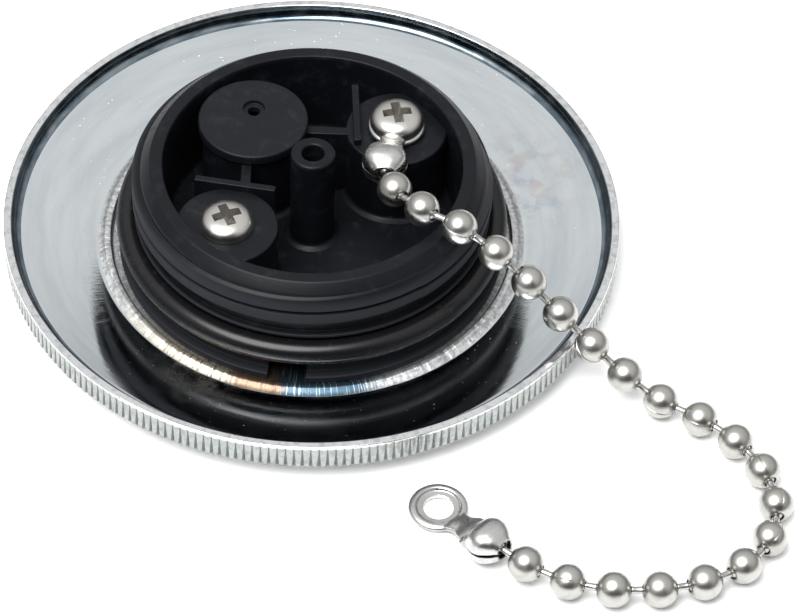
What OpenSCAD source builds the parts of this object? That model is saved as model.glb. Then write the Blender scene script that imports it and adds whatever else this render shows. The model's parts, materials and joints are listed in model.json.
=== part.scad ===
// Deck fill cap: a crowned metal head with a plain rim band, a threaded plastic plug with an
// O-ring and a vent, and a ball chain that keeps the cap on the boat when it is unscrewed.
// The cap lies on its outer face with the plug up. Z = 0 is the flat land of that face, and
// the Z axis is the axis of the thread. All sizes are in millimetres.

/* [Head] */
// Outside diameter of the head
head_d = 85; // [84.5:0.5:87]
// Height from the flat land up to the rim band
crown_h = 3; // [2.8:0.2:3.4]
// Height of the rim band
band_h = 4; // [3.8:0.2:4.4]
// Diameter of the flat land in the middle of the outer face
land_d = 56; // [50:1:60]

/* [Plug] */
// Outside diameter of the thread
thread_d = 49.4; // [49:0.2:50]
// Thread pitch
thread_pitch = 2.31; // [2.2:0.01:2.4]
// Bore of the hollow plug
plug_bore = 40.8; // [40:0.2:41.4]
// Height of the plug's mouth above the flat land
plug_top = 17.15; // [17.05:0.05:17.25]
// Diameter of the flange that seats in the head
flange_d = 53.2; // [53:0.1:53.6]

/* [O-ring] */
// Section diameter of the O-ring
ring_section = 3.5; // [3.3:0.1:3.5]

/* [Screws] */
// Offset of each screw from the axis along X
screw_x = 11.2; // [11:0.1:11.3]
// Offset of each screw from the axis along Y
screw_y = 9.8; // [9.7:0.1:9.9]
// Diameter of a screw head
screw_head_d = 7.4; // [7:0.1:7.4]
// Diameter of a screw shank
screw_shank_d = 3.4; // [3.2:0.1:3.4]

/* [Chain] */
// Outside diameter of a bead
bead_d = 4.8; // [4.7:0.05:4.8]
// Diameter of the hole in each end of a bead
bead_hole = 1.7; // [1.6:0.05:1.7]
// Diameter of a link's wire
wire_d = 1; // [0.9:0.05:1]
// Distance between the two ball heads of a link
link_len = 3.2; // [3.2:0.02:3.24]

/* [Hidden] */
beads = 22;
links = beads - 1;
function two_digits(n) = str(n < 10 ? "0" : "", n);
function bead_name(i) = str("bead_", two_digits(i + 1));
function link_name(i) = str("link_", two_digits(i + 1));
$fn = 96;
// How far joined solids run into each other, and how far a cut runs past its surface.
eps = 0.02;
past = 1;

// Head: the outer face rises from the land to the rim, and the inner face is a shallow dish.
head_r = head_d / 2;
land_r = land_d / 2;
rim_top = crown_h + band_h;
rim_w = 1.1;
rim_edge = 0.25;
cove_w = 1.3;
cove_h = 1.9;
dish_foot_r = 28.9;
dish_foot_z = 2.45;
ridge_top = 3.1;
ridge_edge = 0.35;
recess_r = 27.6;
recess_z = 1.8;
post_r = 3.2;
post_top = 10.4;
tap_r = 1.75;
tap_z = 3.6;
key_pitch = 36;
key_d = 5;
key_depth = 1;

// Plug: a flange in the head's recess, a shoulder, the O-ring neck, then the thread.
thread_r = thread_d / 2;
root_r = thread_r - 1.1;
bore_r = plug_bore / 2;
bore_edge = 0.3;
flange_r = flange_d / 2;
flange_top = 2.9;
shoulder_r = 25.2;
shoulder_top = 4.8;
neck_r = 23.4;
ring_z = shoulder_top + 0.02 + ring_section / 2;
ring_r = neck_r + 0.05 + ring_section / 2;
keeper_r = thread_r - 0.2;
keeper_z = 8.5;
keeper_h = 0.5;
thread_z = 9.48;
threads = 3;
crest_w = 1;
lower_flank = 0.45;
upper_flank = 0.55;
lead_z = thread_z + (threads - 1) * thread_pitch + crest_w + upper_flank + 0.1;
mouth_r = 22.2;
web_top = 3.4;
vent_top = 2.4;
vent_r = 22.6;
boss_r = 7;
boss_top = 14.4;
boss_web = 10.6;
pocket_gap = 0.1;
slot_w = 5.2;
slot_top = 4.6;
slot_angle = 265;
tube_r = 3.05;
tube_bore = 1.5;
tube_top = 19;

// Surge plug: a disc pressed into a round cup.
surge_x = -8.6;
surge_y = 8.9;
surge_r = 7.6;
surge_z = 14.7;
surge_t = 1.5;
cup_r = 7;
cup_bore = 5.6;
skirt_r = cup_bore - 0.05;
skirt_wall = 1.15;
skirt_depth = 3;
surge_hole_y = 1.9;
surge_hole_r = 0.8;
surge_sink_r = 1.55;
surge_sink = 0.6;

// Walls beside the bosses, each with a stub: [x, y, angle, length] of each one's middle.
walls = [[-10.45, -2.9, -8, 11.2], [5.55, 11.6, 94, 10.9]];
wall_t = 1;
wall_top = 15.5;
stubs = [[-9.1, -0.2, 90, 5.4], [1.95, 8.8, 0, 7]];
stub_t = 1.4;
stub_top = 14.5;

// Screws
screw_head_h = 2.2;
screw_edge = 0.7;
screw_round = 0.6;
screw_len = 10;
cross_w = 0.95;
cross_len = 3.7;
cross_depth = 1.3;
cross_turn = 20;

// Couplings: an eyelet, a rising neck and a bell that grips the end bead.
eyelet_r = 4;
eyelet_hole = 2;
eyelet_t = 1;
eyelet_gap = 0.05;
eyelet_z = boss_top + eyelet_gap + eyelet_t / 2;
neck_w = 3;
neck_start = 3.95;
neck_end = 7.9;
bell_reach = 10;
bell_rise = 2.6;
bell_r = 2.95;
bell_wall = 0.5;
bell_mouth = 1.9;
bell_slit = 0.5;
bell_bend = 9;
bell_tilt = 8;

// Chain: each link's heading round Z and its slope, in degrees, from the cap outwards.
bead_r = bead_d / 2;
bead_wall = 0.35;
head_offset = 1.4;
link_head_r = 0.95;
inner_heading = -98;
outer_heading = -48;
link_heading = [-75, -49, -29, -24, -27, -31, -31, -28, -25, -28, -38,
                -54, -74, -99, -127, -151, -166, -177, -189, -203, -216];
link_slope = [8, 12, 1, -24, -32, -32, -31, -30, -25, 3, 0,
              0, 0, 0, 0, 0, 0, 0, 0, 4, 5];
chain_start = [screw_x + bell_reach * cos(inner_heading),
               screw_y + bell_reach * sin(inner_heading),
               eyelet_z + bell_rise];

// A bead in the run points midway between its two links, and an end bead along its bell.
function mean(a, b) = (a + b) / 2;
function bead_heading(i) =
    i == 0 ? inner_heading + bell_bend
    : i == links ? outer_heading + bell_bend - 180
    : mean(link_heading[i - 1], link_heading[i]);
function bead_slope(i) =
    i == 0 ? bell_tilt
    : i == links ? -bell_tilt
    : mean(link_slope[i - 1], link_slope[i]);
function along(heading, slope) =
    [cos(slope) * cos(heading), cos(slope) * sin(heading), sin(slope)];
function bead_axis(i) = along(bead_heading(i), bead_slope(i));
function link_axis(i) = along(link_heading[i], link_slope[i]);
function link_start(i) = bead_centre(i) + head_offset * bead_axis(i);
function bead_centre(i) =
    i == 0 ? chain_start
    : link_start(i - 1) + link_len * link_axis(i - 1) + head_offset * bead_axis(i);

// Turns the X axis of its children to a heading and a slope, and moves them to a point.
module point_along(centre, heading, slope) {
    translate(centre) rotate([0, -slope, heading]) children();
}

// ---- Head ----

// The crown's height at a fraction t of the way from the land to the rim.
function crown(t) = crown_h * t * t;

// Half section of the head, as [radius, height] points.
head_section = concat(
    [[0, 0]],
    [for (t = [0:0.1:1]) [land_r + (head_r - rim_edge - land_r) * t, crown(t)]],
    [[head_r, crown_h + rim_edge],
     [head_r, rim_top - rim_edge],
     [head_r - rim_edge, rim_top]],
    [for (a = [0:22.5:90])
        [head_r - rim_w - cove_w * (1 - cos(a)), rim_top - cove_h * sin(a)]],
    [[dish_foot_r, dish_foot_z],
     [dish_foot_r - ridge_edge, ridge_top],
     [recess_r + ridge_edge, ridge_top],
     [recess_r, ridge_top - ridge_edge],
     [recess_r, recess_z],
     [0, recess_z]]
);

module cap_head() {
    color("gainsboro") difference() {
        union() {
            rotate_extrude() polygon(head_section);
            for (side = [-1, 1])
                translate([side * screw_x, side * screw_y, recess_z - eps])
                    cylinder(r = post_r, h = post_top - recess_z + eps);
        }
        for (side = [-1, 1]) {
            translate([side * screw_x, side * screw_y, tap_z])
                cylinder(r = tap_r, h = post_top);
            translate([side * key_pitch / 2, 0, -past])
                cylinder(d = key_d, h = key_depth + past);
        }
    }
}

// ---- Plug ----

// One thread ridge, from its lower root to its upper root.
function ridge(z) = [
    [root_r, z - lower_flank],
    [thread_r, z],
    [thread_r, z + crest_w],
    [root_r, z + crest_w + upper_flank]
];
plug_section = concat(
    [[0, recess_z], [flange_r, recess_z], [flange_r, flange_top],
     [shoulder_r, flange_top], [shoulder_r, shoulder_top],
     [neck_r, shoulder_top], [neck_r, keeper_z],
     [keeper_r, keeper_z], [keeper_r, keeper_z + keeper_h]],
    [for (k = [0:threads - 1]) each ridge(thread_z + k * thread_pitch)],
    [[root_r, lead_z],
     [mouth_r, plug_top],
     [bore_r + bore_edge, plug_top],
     [bore_r, plug_top - bore_edge],
     [bore_r, web_top],
     [0, web_top]]
);

// An upright rib on the web; place is [x, y, angle, length] of its middle.
module rib(place, thickness, top) {
    translate([place[0], place[1], (web_top + top) / 2 - eps]) rotate([0, 0, place[2]])
        cube([place[3], thickness, top - web_top + 2 * eps], center = true);
}

module plug_body() {
    color("#1b1c1f") difference() {
        union() {
            rotate_extrude() polygon(plug_section);
            translate([0, 0, web_top - eps])
                cylinder(r = tube_r, h = tube_top - web_top + eps);
            translate([surge_x, surge_y, web_top - eps])
                cylinder(r = cup_r, h = surge_z - web_top + eps);
            for (side = [-1, 1])
                translate([side * screw_x, side * screw_y, web_top - eps])
                    cylinder(r = boss_r, h = boss_top - web_top + eps);
            for (place = walls) rib(place, wall_t, wall_top);
            for (place = stubs) rib(place, stub_t, stub_top);
        }
        translate([0, 0, recess_z - past])
            cylinder(r = vent_r, h = vent_top - recess_z + past);
        translate([0, 0, vent_top - past]) cylinder(r = tube_bore, h = tube_top);
        translate([surge_x, surge_y, web_top]) cylinder(r = cup_bore, h = surge_z);
        translate([surge_x, surge_y, vent_top - past]) cylinder(r = tube_bore, h = web_top);
        for (side = [-1, 1])
            translate([side * screw_x, side * screw_y, vent_top - past]) {
                cylinder(r = post_r + pocket_gap, h = boss_web - vent_top + past);
                cylinder(d = screw_shank_d + 4 * pocket_gap, h = boss_top);
            }
        for (turn = [0, 180])
            rotate([0, 0, slot_angle + turn])
                translate([vent_r - past, -slot_w / 2, recess_z - past])
                    cube([flange_r, slot_w, slot_top - recess_z + past]);
    }
}

module o_ring() {
    color("#101113") rotate_extrude() translate([ring_r, ring_z]) circle(d = ring_section);
}

// The vent disc: a plain face, a skirt that plugs the cup and an off-centre breather hole.
module surge_plug() {
    color("#26272a") translate([surge_x, surge_y, surge_z]) difference() {
        union() {
            cylinder(r = surge_r, h = surge_t);
            translate([0, 0, -skirt_depth]) cylinder(r = skirt_r, h = skirt_depth + eps);
        }
        translate([0, 0, -skirt_depth - past])
            cylinder(r = skirt_r - skirt_wall, h = skirt_depth + past);
        translate([0, surge_hole_y, -past]) cylinder(r = surge_hole_r, h = surge_t + 2 * past);
        translate([0, surge_hole_y, surge_t - surge_sink])
            cylinder(r = surge_sink_r, h = surge_sink + past);
    }
}

// ---- Screws ----

pan_section = concat(
    [[0, 0], [screw_head_d / 2, 0], [screw_head_d / 2, screw_edge]],
    [for (a = [15:15:90])
        [screw_head_d / 2 * cos(a) ^ screw_round,
         screw_edge + (screw_head_h - screw_edge) * sin(a)]]
);

// A cross-recessed pan-head screw with the underside of its head at Z = 0.
module pan_screw() {
    difference() {
        rotate_extrude() polygon(pan_section);
        for (a = [0, 90]) rotate([0, 0, a + cross_turn])
            translate([-cross_len / 2, -cross_w / 2, screw_head_h - cross_depth])
                cube([cross_len, cross_w, cross_depth + past]);
    }
    translate([0, 0, -screw_len]) cylinder(d = screw_shank_d, h = screw_len + eps);
}

module plug_screw() {
    color("silver") translate([-screw_x, -screw_y, boss_top]) pan_screw();
}

module chain_screw() {
    color("silver") translate([screw_x, screw_y, eyelet_z + eyelet_t / 2 + eyelet_gap])
        pan_screw();
}

// ---- Chain ----

// A round shell, open and slit on its -Z side, that grips an end bead.
module bell() {
    difference() {
        sphere(r = bell_r);
        sphere(r = bell_r - bell_wall);
        translate([0, 0, -bell_r - past]) cylinder(r = bell_mouth, h = bell_r + past);
        translate([-bell_slit / 2, -bell_r - past, -bell_r - past])
            cube([bell_slit, 2 * (bell_r + past), bell_r + past]);
    }
}

// A coupling with its eyelet at the origin and its bell on the +X side.
module coupling() {
    neck_slope = atan2(bell_rise, bell_reach - neck_start);
    difference() {
        cylinder(r = eyelet_r, h = eyelet_t, center = true);
        cylinder(r = eyelet_hole, h = eyelet_t + past, center = true);
    }
    translate([neck_start, 0, 0]) rotate([0, -neck_slope, 0])
        translate([0, -neck_w / 2, -eyelet_t / 2])
            cube([neck_end - neck_start, neck_w, eyelet_t]);
    point_along([bell_reach, 0, bell_rise], bell_bend, bell_tilt) rotate([0, -90, 0]) bell();
}

module inner_coupling() {
    color("silver") translate([screw_x, screw_y, eyelet_z])
        rotate([0, 0, inner_heading]) coupling();
}

module outer_coupling() {
    reach = bell_reach * [cos(outer_heading), sin(outer_heading), 0];
    color("silver") translate(bead_centre(links) - reach - [0, 0, bell_rise])
        rotate([0, 0, outer_heading]) coupling();
}

// A hollow bead with a hole at each end for the links' ball heads.
module bead(i) {
    color("silver") point_along(bead_centre(i), bead_heading(i), bead_slope(i))
        rotate([0, 90, 0]) difference() {
            sphere(r = bead_r);
            sphere(r = bead_r - bead_wall);
            cylinder(d = bead_hole, h = bead_d + past, center = true);
        }
}

// A wire link with a ball head at each end.
module link(i) {
    color("silver") point_along(link_start(i), link_heading[i], link_slope[i])
        rotate([0, 90, 0]) {
            sphere(r = link_head_r);
            translate([0, 0, link_len]) sphere(r = link_head_r);
            cylinder(d = wire_d, h = link_len);
        }
}

cap_head();
plug_body();
o_ring();
surge_plug();
plug_screw();
chain_screw();
inner_coupling();
outer_coupling();
for (i = [0:beads - 1]) bead(i);
for (i = [0:links - 1]) link(i);
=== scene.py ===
import json
import math
import random

import bmesh
import bpy
from mathutils import Matrix, Vector


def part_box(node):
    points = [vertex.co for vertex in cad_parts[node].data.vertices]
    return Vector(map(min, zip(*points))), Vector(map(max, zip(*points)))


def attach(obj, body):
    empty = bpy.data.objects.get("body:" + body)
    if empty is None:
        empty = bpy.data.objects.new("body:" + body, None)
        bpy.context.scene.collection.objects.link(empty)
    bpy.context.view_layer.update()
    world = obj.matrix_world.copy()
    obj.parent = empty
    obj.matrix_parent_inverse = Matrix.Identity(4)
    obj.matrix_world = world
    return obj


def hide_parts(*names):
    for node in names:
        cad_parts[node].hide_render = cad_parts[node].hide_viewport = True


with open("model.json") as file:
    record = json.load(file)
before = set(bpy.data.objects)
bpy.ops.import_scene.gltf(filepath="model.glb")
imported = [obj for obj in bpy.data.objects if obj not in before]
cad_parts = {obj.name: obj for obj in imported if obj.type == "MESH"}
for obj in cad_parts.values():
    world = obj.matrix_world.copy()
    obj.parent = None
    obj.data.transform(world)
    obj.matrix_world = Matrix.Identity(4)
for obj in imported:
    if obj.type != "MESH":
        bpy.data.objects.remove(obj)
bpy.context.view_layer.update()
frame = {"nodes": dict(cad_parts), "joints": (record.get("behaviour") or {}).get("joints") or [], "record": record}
MM = 0.001

# ---------------------------------------------------------------------------
# Camera: a long lens in front of the cap, looking down at it
# ---------------------------------------------------------------------------

CAMERA_AIM = Vector((12.63, -13.087, 3.0)) * MM
CAMERA_DISTANCE = 583.15 * MM
CAMERA_ELEVATION = math.radians(47.768)
CAMERA_ROLL = math.radians(2.2413)
CAMERA_LENS = 192.09

back = Vector((0, -math.cos(CAMERA_ELEVATION), math.sin(CAMERA_ELEVATION)))
right = Vector((1, 0, 0))
upward = back.cross(right)
rolled_right = right * math.cos(CAMERA_ROLL) + upward * math.sin(CAMERA_ROLL)
rolled_up = upward * math.cos(CAMERA_ROLL) - right * math.sin(CAMERA_ROLL)
camera_data = bpy.data.cameras.new("camera")
camera_data.lens = CAMERA_LENS
camera_data.clip_start = 0.01
camera = bpy.data.objects.new("camera", camera_data)
bpy.context.scene.collection.objects.link(camera)
turn = Matrix((rolled_right, rolled_up, back)).transposed().to_4x4()
camera.matrix_world = Matrix.Translation(CAMERA_AIM + back * CAMERA_DISTANCE) @ turn
bpy.context.scene.camera = camera
bpy.context.scene.view_settings.view_transform = "Standard"

# ---------------------------------------------------------------------------
# Sizes of the cap in millimetres, as the frame has them
# ---------------------------------------------------------------------------

# Head: heights are above the flat land that the cap rests on
HEAD_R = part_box("cap_head")[1].x / MM
CROWN_H = 3.0
RIM_TOP = 7.0
LAND_R = 28.0
FLUTES = 240
FLUTE_DEPTH = 0.26
RIM_W = 1.1
COVE_W = 1.3
COVE_H = 1.9
DISH_Z = 2.45
RIDGE_OUT = 28.9
RIDGE_IN = 27.6
RIDGE_TOP = 3.1
RIDGE_FOOT = 0.6
RIDGE_NICK = 0.15
RECESS_Z = 1.8
KEY_X = 18.0
KEY_R = 2.5
KEY_DEPTH = 1.0
POST_R = 3.2
POST_BORE = 1.75
POST_TOP = 10.4
SUNK = 0.3

screw_low, screw_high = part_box("chain_screw")
SCREW_X = (screw_low.x + screw_high.x) / 2 / MM
SCREW_Y = (screw_low.y + screw_high.y) / 2 / MM
SCREW_HEAD_H = 2.2

# Plug, from its flange up to its mouth
FLANGE_R = 26.6
FLANGE_TOP = 2.9
SHOULDER_R = 25.2
GROOVE_R = 23.4
GROOVE_LOW = 4.8
GROOVE_TOP = 8.5
COLLAR_R = 24.5
COLLAR_TOP = 9.0
ROOT_R = 23.6
THREAD_R = 24.7
PITCH = 2.31
LEAD_Z = 15.75
MOUTH_R = 22.2
PLUG_TOP = 17.15
BORE_R = 20.4
WEB_TOP = 3.4
VENT_TURNS = (265, 85)
VENT_W = 5.2
VENT_H = 4.2
BOSS_R = 7.0
BOSS_BORE = 1.9
BOSS_TOP = 14.4
CUP_R = 7.0
CUP_BORE = 5.6
CUP_TOP = 14.7
TUBE_R = 3.05
TUBE_BORE = 1.5
TUBE_TOP = 19.0

surge_low, surge_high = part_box("surge_plug")
SURGE_X = (surge_low.x + surge_high.x) / 2 / MM
SURGE_Y = (surge_low.y + surge_high.y) / 2 / MM
SURGE_R = (surge_high.x - surge_low.x) / 2 / MM
SURGE_TOP = surge_high.z / MM
SURGE_Z = SURGE_TOP - 1.5
SKIRT_R = 5.55
SKIRT_BORE = 4.4
SKIRT_H = 3.0
SURGE_HOLE_R = 0.85
SURGE_SINK_R = 1.62
SURGE_HOLE_Y = 1.9

BEAD_R = 2.4
BEAD_HOLE_R = 0.85
BEAD_WALL = 0.35
SEAM_HALF = 0.034
SEAM_DEPTH = 0.11
LAP_ANGLE = 1.2
LAP_STEP = 0.03
LINK_HEAD_R = 0.95
WIRE_R = 0.5

# ---------------------------------------------------------------------------
# Mesh helpers: a Shape gathers closed solids in millimetres
# ---------------------------------------------------------------------------


class Shape:
    """Closed solids gathered as one mesh, with a material slot for each face."""

    def __init__(self):
        self.verts = []
        self.faces = []
        self.slots = []

    def add(self, verts, faces, slot=0, place=None):
        base = len(self.verts)
        if place is not None:
            verts = [place @ Vector(v) for v in verts]
        self.verts += [tuple(v) for v in verts]
        self.faces += [[base + i for i in face] for face in faces]
        self.slots += [slot] * len(faces)


def rounded(corners, closed=False, steps=4):
    """Points of an outline whose corners (x, y, radius) are rounded off."""
    points = []
    count = len(corners)
    for i, (x, y, radius) in enumerate(corners):
        if radius == 0 or (not closed and i in (0, count - 1)):
            points.append((x, y))
            continue
        corner = Vector((x, y))
        before = Vector(corners[i - 1][:2]) - corner
        after = Vector(corners[(i + 1) % count][:2]) - corner
        start = corner + before.normalized() * min(radius, 0.49 * before.length)
        end = corner + after.normalized() * min(radius, 0.49 * after.length)
        for k in range(steps + 1):
            t = k / steps
            point = start * (1 - t) ** 2 + corner * 2 * t * (1 - t) + end * t ** 2
            points.append((point.x, point.y))
    return points


def lathe(section, segments, closed=False, shape=None, angles=None):
    """Turns (radius, height) points round Z. shape(r, z, angle) may move a point."""
    if angles is None:
        angles = [2 * math.pi * s / segments for s in range(segments)]
    verts = []
    rings = []
    for r, z in section:
        if r < 1e-6:
            rings.append([len(verts)] * len(angles))
            verts.append((0, 0, z))
            continue
        rings.append(list(range(len(verts), len(verts) + len(angles))))
        for a in angles:
            rr, zz = shape(r, z, a) if shape else (r, z)
            verts.append((rr * math.cos(a), rr * math.sin(a), zz))
    faces = []
    rows = len(rings) if closed else len(rings) - 1
    for i in range(rows):
        low = rings[i]
        high = rings[(i + 1) % len(rings)]
        for s in range(len(angles)):
            n = (s + 1) % len(angles)
            face = [low[s], low[n], high[n], high[s]]
            unique = [v for k, v in enumerate(face) if v != face[k - 1]]
            if len(unique) > 2:
                faces.append(unique)
    return verts, faces


def sweep(rings, closed_ends=True):
    """Skins a list of equal rings of points, and caps the two ends."""
    count = len(rings[0])
    verts = [p for ring in rings for p in ring]
    faces = []
    for i in range(len(rings) - 1):
        for k in range(count):
            n = (k + 1) % count
            faces.append([i * count + k, i * count + n, (i + 1) * count + n, (i + 1) * count + k])
    if closed_ends:
        faces.append(list(range(count)))
        faces.append([(len(rings) - 1) * count + k for k in range(count)])
    return verts, faces


def slab(length, width, height, edge):
    """A box on the XY plane with rounded edges."""
    bm = bmesh.new()
    bmesh.ops.create_cube(bm, size=1)
    bmesh.ops.scale(bm, vec=(length, width, height), verts=bm.verts)
    bmesh.ops.translate(bm, vec=(0, 0, height / 2), verts=bm.verts)
    bmesh.ops.bevel(bm, geom=bm.edges[:], offset=edge, segments=3, profile=0.5, affect="EDGES")
    bm.verts.index_update()
    verts = [v.co.copy() for v in bm.verts]
    faces = [[v.index for v in f.verts] for f in bm.faces]
    bm.free()
    return verts, faces


def place_at(x, y, z, angle=0.0):
    """A place turned round Z by an angle in degrees."""
    return Matrix.Translation((x, y, z)) @ Matrix.Rotation(math.radians(angle), 4, "Z")


def place_along(start, direction, roll=0.0):
    """A frame whose X axis points along direction and whose Z axis stays upward."""
    x = Vector(direction).normalized()
    y = Vector((0, 0, 1)).cross(x).normalized()
    z = x.cross(y)
    frame_matrix = Matrix((x, y, z)).transposed().to_4x4()
    return Matrix.Translation(start) @ frame_matrix @ Matrix.Rotation(roll, 4, "X")


Z_TO_X = Matrix.Rotation(math.pi / 2, 4, "Y")


def mesh_object(name, shape, materials):
    """A Blender object of a shape, in metres, with its normals outwards."""
    mesh = bpy.data.meshes.new(name)
    mesh.from_pydata([Vector(v) * MM for v in shape.verts], [], shape.faces)
    for material in materials:
        mesh.materials.append(material)
    mesh.polygons.foreach_set("material_index", shape.slots)
    bm = bmesh.new()
    bm.from_mesh(mesh)
    bmesh.ops.recalc_face_normals(bm, faces=bm.faces)
    bm.to_mesh(mesh)
    bm.free()
    obj = bpy.data.objects.new(name, mesh)
    bpy.context.scene.collection.objects.link(obj)
    return obj


def apply_modifiers(obj):
    """Makes an object's modified mesh its own."""
    bpy.context.view_layer.update()
    graph = bpy.context.evaluated_depsgraph_get()
    mesh = bpy.data.meshes.new_from_object(obj.evaluated_get(graph))
    obj.modifiers.clear()
    obj.data = mesh


def cut(obj, shape):
    """Takes the solids of shape out of obj."""
    cutter = mesh_object("cutter", shape, [])
    modifier = obj.modifiers.new("cut", "BOOLEAN")
    modifier.operation = "DIFFERENCE"
    modifier.solver = "EXACT"
    modifier.object = cutter
    apply_modifiers(obj)
    bpy.data.objects.remove(cutter)


def finish_piece(obj, body, slot, *nodes, sharp=40):
    """Shades a piece, hangs it on the body it rides on and hides the nodes it stands for; slot, its finish, is not
    used.
    """
    obj.data.polygons.foreach_set("use_smooth", [True] * len(obj.data.polygons))
    obj.data.set_sharp_from_angle(angle=math.radians(sharp))
    normals = obj.modifiers.new("normals", "WEIGHTED_NORMAL")
    normals.keep_sharp = True
    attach(obj, body)
    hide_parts(*nodes)
    return obj


# ---------------------------------------------------------------------------
# Materials
# ---------------------------------------------------------------------------


class Finish:
    """A node material with a Principled shader, and helpers that add nodes to it."""

    def __init__(self, name, color, metallic, roughness, specular=0.5):
        self.material = bpy.data.materials.new(name)
        self.material.use_nodes = True
        self.tree = self.material.node_tree
        self.shader = self.tree.nodes["Principled BSDF"]
        self.shader.inputs["Base Color"].default_value = (*color, 1)
        self.shader.inputs["Metallic"].default_value = metallic
        self.shader.inputs["Roughness"].default_value = roughness
        self.shader.inputs["Specular IOR Level"].default_value = specular
        self.coords = self.node("ShaderNodeTexCoord").outputs["Object"]
        self.bump = None

    def node(self, kind, inputs=None, **settings):
        made = self.tree.nodes.new(kind)
        for key, value in settings.items():
            setattr(made, key, value)
        for key, value in (inputs or {}).items():
            self.feed(made.inputs[key], value)
        return made

    def feed(self, socket, value):
        if isinstance(value, bpy.types.NodeSocket):
            self.tree.links.new(value, socket)
        else:
            socket.default_value = value

    def math(self, operation, a, b=0.0, c=0.0):
        return self.node("ShaderNodeMath", {0: a, 1: b, 2: c}, operation=operation).outputs[0]

    def noise(self, scale, detail=3.0, rough=0.5, vector=None, distortion=0.0):
        made = self.node("ShaderNodeTexNoise", {
            "Vector": vector or self.coords, "Scale": scale, "Detail": detail,
            "Roughness": rough, "Distortion": distortion})
        return made.outputs["Fac"]

    def ramp(self, value, low, high, to_low=0.0, to_high=1.0):
        made = self.node("ShaderNodeMapRange", {
            "Value": value, "From Min": low, "From Max": high,
            "To Min": to_low, "To Max": to_high}, interpolation_type="SMOOTHSTEP")
        return made.outputs[0]

    def mix(self, factor, a, b):
        made = self.node("ShaderNodeMix", data_type="RGBA")
        self.feed(made.inputs["Factor"], factor)
        self.feed(made.inputs["A"], a if isinstance(a, bpy.types.NodeSocket) else (*a, 1))
        self.feed(made.inputs["B"], b if isinstance(b, bpy.types.NodeSocket) else (*b, 1))
        return made.outputs["Result"]

    def add_bump(self, height, strength, depth_mm):
        inputs = {"Height": height, "Strength": strength, "Distance": depth_mm * MM}
        if self.bump:
            inputs["Normal"] = self.bump
        self.bump = self.node("ShaderNodeBump", inputs).outputs[0]
        self.tree.links.new(self.bump, self.shader.inputs["Normal"])

    def polar(self):
        """Radius in metres and angle in radians round the cap's axis."""
        parts = self.node("ShaderNodeSeparateXYZ", {0: self.coords})
        x, y = parts.outputs[0], parts.outputs[1]
        flat = self.node("ShaderNodeCombineXYZ", {0: x, 1: y})
        radius = self.node("ShaderNodeVectorMath", {0: flat.outputs[0]}, operation="LENGTH")
        return radius.outputs["Value"], self.math("ARCTAN2", y, x)

    def near(self, centre_mm, inner_mm, outer_mm):
        """1 near a point and 0 away from it."""
        offset = self.node("ShaderNodeVectorMath", {
            0: self.coords, 1: Vector(centre_mm) * MM}, operation="DISTANCE").outputs["Value"]
        return self.ramp(offset, inner_mm * MM, outer_mm * MM, 1.0, 0.0)

    def color(self, value):
        self.feed(self.shader.inputs["Base Color"], value)

    def roughness(self, value):
        self.feed(self.shader.inputs["Roughness"], value)


STAIN_AT = (-14.0, -26.0, 2.8)
TINT_AT = (28.0, 11.0, 2.8)
HATCH_IN = 30.0
HATCH_OUT = 38.0


def turned_vector(finish, across, along):
    """Coordinates that stretch a texture round the axis, for lathe marks."""
    radius, angle = finish.polar()
    return finish.node("ShaderNodeCombineXYZ", {
        0: finish.math("MULTIPLY", radius, across),
        1: finish.math("MULTIPLY", finish.math("COSINE", angle), along),
        2: finish.math("MULTIPLY", finish.math("SINE", angle), along)}).outputs[0]


def dish_chrome():
    """Plated dish: turned marks, faint tints, pits, a stain and hatching by the ridge."""
    finish = Finish("dish_chrome", (0.6, 0.64, 0.66), 1.0, 0.12)
    marks = finish.noise(1.0, 4.0, 0.6, turned_vector(finish, 1500.0, 5.0))
    streaks = finish.noise(1.0, 3.0, 0.6, turned_vector(finish, 420.0, 2.4))
    clouds = finish.noise(95.0, 4.0, 0.55)
    clean = finish.mix(finish.ramp(streaks, 0.3, 0.75), (0.66, 0.7, 0.715), (0.56, 0.605, 0.63))
    tint = finish.mix(finish.ramp(finish.noise(260.0, 4.0, 0.6), 0.42, 0.6),
                      (0.56, 0.46, 0.42), (0.36, 0.43, 0.52))
    tinted = finish.math("MULTIPLY", finish.near(TINT_AT, 3.0, 13.0),
                         finish.ramp(finish.noise(330.0, 5.0, 0.65), 0.44, 0.62))
    worn = finish.mix(finish.math("MULTIPLY", tinted, 0.55), clean, tint)
    stain = finish.math("MULTIPLY", finish.near(STAIN_AT, 2.0, 11.0),
                        finish.ramp(finish.noise(420.0, 5.0, 0.7), 0.36, 0.62))
    pits = finish.ramp(finish.noise(2300.0, 2.0, 0.5), 0.73, 0.78)
    finish.color(finish.mix(finish.math("MULTIPLY", stain, 0.6), worn, (0.24, 0.2, 0.15)))
    rough = finish.math("MULTIPLY_ADD", finish.ramp(clouds, 0.42, 0.72), 0.06, 0.06)
    dulled = finish.math("MULTIPLY_ADD", stain, 0.25, rough)
    finish.roughness(finish.math("MULTIPLY_ADD", pits, 0.3, dulled))
    finish.add_bump(marks, 0.35, 0.012)
    finish.add_bump(finish.noise(240.0, 3.0), 0.08, 0.03)
    hatch = finish.noise(1.0, 2.0, 0.6, turned_vector(finish, 90.0, 210.0))
    beside = finish.ramp(finish.polar()[0], HATCH_IN * MM, HATCH_OUT * MM, 1.0, 0.0)
    finish.add_bump(finish.math("MULTIPLY", hatch, beside), 0.5, 0.04)
    finish.add_bump(pits, 0.6, 0.03)
    return finish.material


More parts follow.
